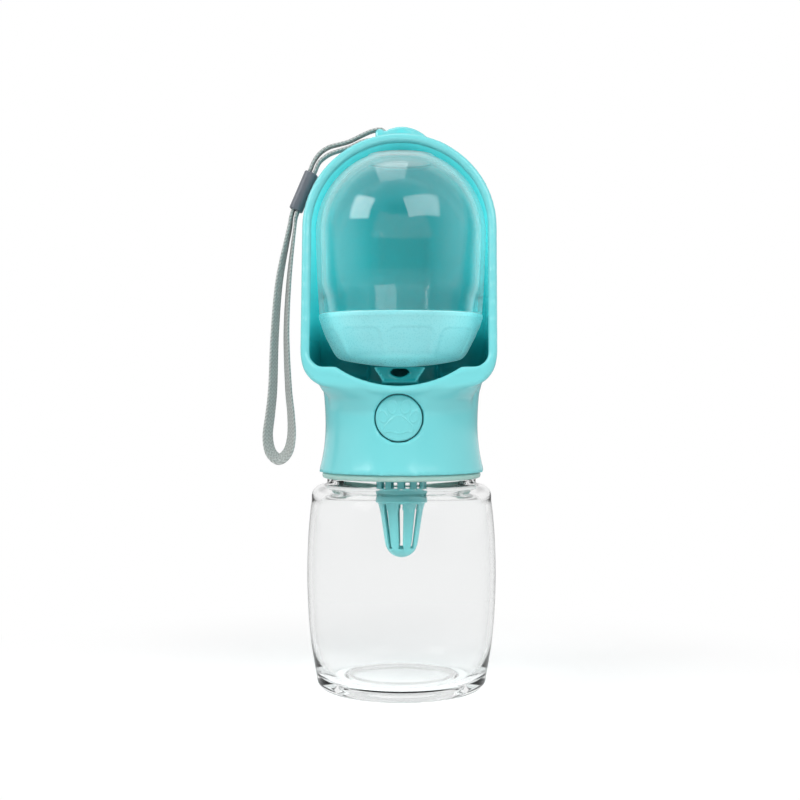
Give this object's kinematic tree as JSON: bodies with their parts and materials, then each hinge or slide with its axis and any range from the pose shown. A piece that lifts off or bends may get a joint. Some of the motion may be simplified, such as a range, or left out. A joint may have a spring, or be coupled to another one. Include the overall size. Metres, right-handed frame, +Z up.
{
  "type": "dog travel water bottle",
  "caption": "Clear water bottle with a screw-on hooded head that has a drinking trough, a push-button valve, a hanging filter, a clear food cup and a wrist strap.",
  "frame": {"origin": "centre of the bottle's foot, on the surface it stands on", "axes": "+Z up along the bottle's axis; the scoop and the button face -Y; the wrist strap hangs on the -X side"},
  "size_m": [0.092, 0.079, 0.2213],
  "materials": {
    "clear_plastic": "polished clear",
    "teal_plastic": "gloss moulded",
    "deep_teal_plastic": "gloss moulded",
    "mint_silicone": "satin silicone",
    "white_silicone": "satin silicone",
    "steel": "drawn wire",
    "grey_plastic": "satin",
    "strap_fabric": "flat braid"
  },
  "bodies": {
    "bottle": {"bottle": "clear_plastic"},
    "gasket": {"neck_gasket": "mint_silicone"},
    "head": {"head_shell": "teal_plastic", "neck_insert": "deep_teal_plastic", "valve_body": "deep_teal_plastic", "valve_end_cap": "deep_teal_plastic", "stem_seal": "white_silicone", "outlet_seal": "white_silicone", "return_spring": "steel", "filter_seal": "mint_silicone", "wrist_strap": "strap_fabric"},
    "button": {"button_cap": "teal_plastic", "valve_stem": "steel", "valve_plug": "white_silicone"},
    "filter": {"filter_basket": "deep_teal_plastic"},
    "cup": {"food_lid": "teal_plastic", "lid_seal": "white_silicone"},
    "dome": {"food_dome": "clear_plastic"},
    "slider": {"strap_slider": "grey_plastic"}
  },
  "joints": [
    {"name": "head_lift", "type": "slide", "parent": "bottle", "child": "gasket", "axis": [0, 0, 1], "range_m": [0, 0.0065]},
    {"name": "head_turn", "type": "hinge", "parent": "gasket", "child": "head", "pos_m": [0, 0, 0.086], "axis": [0, 0, 1], "range_deg": [0, 540]},
    {"name": "button_press", "type": "slide", "parent": "head", "child": "button", "axis": [0, 1, 0], "range_m": [0, 0.0035], "stiffness_N_per_m": 500, "springref_m": -0.003, "deforming": ["return_spring"]},
    {"name": "filter_pull", "type": "slide", "parent": "head", "child": "filter", "axis": [0, 0, -1], "range_m": [0, 0.012]},
    {"name": "cup_out", "type": "slide", "parent": "head", "child": "cup", "axis": [0, -1, 0], "range_m": [0, 0.065]},
    {"name": "dome_turn", "type": "hinge", "parent": "cup", "child": "dome", "pos_m": [0, -0.008, 0.148], "axis": [0, 0, 1], "range_deg": [0, 40]},
    {"name": "slider_slide", "type": "slide", "parent": "head", "child": "slider", "axis": [0.3972, 0, 0.9178], "range_m": [0, 0.004]}
  ],
  "couplings": [
    {"joint": "head_lift", "follows": "head_turn", "m_per_rad": 0.00066845}
  ]
}
